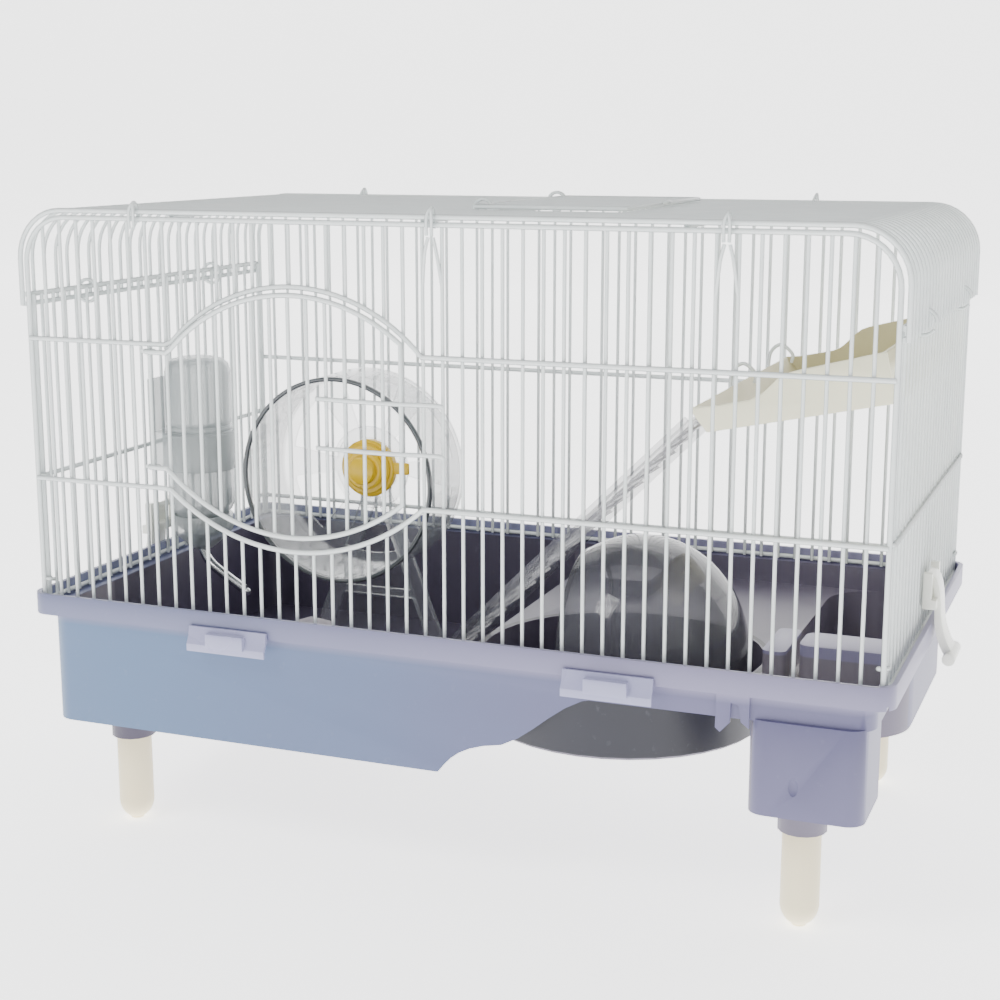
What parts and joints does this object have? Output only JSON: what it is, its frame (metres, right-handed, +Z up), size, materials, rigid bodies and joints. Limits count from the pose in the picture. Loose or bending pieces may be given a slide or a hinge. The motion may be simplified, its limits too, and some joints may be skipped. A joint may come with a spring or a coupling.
{
  "type": "hamster cage",
  "caption": "Small-animal cage: white wire top with front door and roof hatch on a moulded tray with peg legs, wheel, bottle, shelf, ladder and dome house.",
  "frame": {"origin": "on the ground under the centre of the bounding box", "axes": "+Z up, +X along the long side to the viewer's right, front door faces -Y"},
  "size_m": [0.4964, 0.2682, 0.3485],
  "materials": {
    "tray": "moulded, satin",
    "legs": "satin",
    "wire": "white powder coat",
    "clips": "slightly translucent",
    "latches": "glossy",
    "clear_plastic": "clear plastic",
    "dark_plastic": "satin",
    "yellow_plastic": "glossy",
    "steel": "polished",
    "cream_plastic": "satin",
    "smoke_plastic": "smoky clear plastic",
    "frosted_plastic": "frosted clear plastic"
  },
  "bodies": {
    "tray": {"tray": "tray", "leg_front_left": "legs", "leg_front_right": "legs", "leg_rear_left": "legs", "leg_rear_right": "legs", "dome_house": "smoke_plastic", "wheel_stand": "clear_plastic", "wheel_axle": "steel", "wheel_spacer": "yellow_plastic"},
    "wheel": {"wheel_drum": "clear_plastic", "wheel_front_ring": "dark_plastic", "wheel_hub_cap": "yellow_plastic"},
    "cage": {"front_panel": "wire", "back_panel": "wire", "left_panel": "wire", "right_panel": "wire", "lid_panel": "wire", "lid_tie_front_left": "wire", "lid_tie_front_middle": "wire", "lid_tie_front_right": "wire", "lid_tie_rear_left": "wire", "lid_tie_rear_right": "wire", "seam_ring_left_front": "wire", "seam_ring_left_rear": "wire", "seam_ring_right_front": "wire", "seam_ring_right_rear": "wire", "hatch_ring_front": "wire", "hatch_ring_rear": "wire", "bottle_holder": "frosted_plastic", "shelf_board": "cream_plastic", "shelf_hook_front": "wire", "shelf_hook_rear": "wire"},
    "front_door": {"front_door": "wire"},
    "top_hatch": {"top_hatch": "wire"},
    "ladder": {"ladder": "smoke_plastic"},
    "bottle": {"bottle_body": "frosted_plastic", "bottle_cap": "frosted_plastic", "bottle_seal": "dark_plastic", "bottle_spout": "steel", "spout_ball": "steel"},
    "front_clip_left": {"front_clip_left": "clips"},
    "front_clip_right": {"front_clip_right": "clips"},
    "side_latch_left": {"side_latch_left": "latches"},
    "side_latch_right": {"side_latch_right": "latches"}
  },
  "joints": [
    {"name": "cage_lift", "type": "slide", "parent": "tray", "child": "cage", "axis": [0, 0, 1], "range_m": [0, 0.2]},
    {"name": "wheel_spin", "type": "hinge", "parent": "tray", "child": "wheel", "pos_m": [-0.094, -0.0069, 0.189], "axis": [0, 1, 0], "continuous": true},
    {"name": "door_swing", "type": "hinge", "parent": "cage", "child": "front_door", "pos_m": [-0.156, -0.1217, 0.239], "axis": [0, 0, -1], "range_deg": [0, 120]},
    {"name": "hatch_swing", "type": "hinge", "parent": "cage", "child": "top_hatch", "pos_m": [0.0015, 0.0135, 0.3442], "axis": [0, -1, 0], "range_deg": [0, 100]},
    {"name": "ladder_tip", "type": "hinge", "parent": "cage", "child": "ladder", "pos_m": [0.128, -0.0679, 0.246], "axis": [0, 1, 0], "range_deg": [0, 3.5]},
    {"name": "bottle_lift", "type": "slide", "parent": "cage", "child": "bottle", "axis": [0, 0, 1], "range_m": [0, 0.04]},
    {"name": "clip_left_swing", "type": "hinge", "parent": "tray", "child": "front_clip_left", "pos_m": [-0.11, -0.1291, 0.1257], "axis": [-1, 0, 0], "range_deg": [0, 100]},
    {"name": "clip_right_swing", "type": "hinge", "parent": "tray", "child": "front_clip_right", "pos_m": [0.099, -0.1291, 0.1257], "axis": [-1, 0, 0], "range_deg": [0, 100]},
    {"name": "latch_left_swing", "type": "hinge", "parent": "cage", "child": "side_latch_left", "pos_m": [-0.2314, 0.0031, 0.1612], "axis": [0, 1, 0], "range_deg": [0, 50]},
    {"name": "latch_right_swing", "type": "hinge", "parent": "cage", "child": "side_latch_right", "pos_m": [0.2314, 0.0031, 0.1612], "axis": [0, -1, 0], "range_deg": [0, 50]}
  ]
}
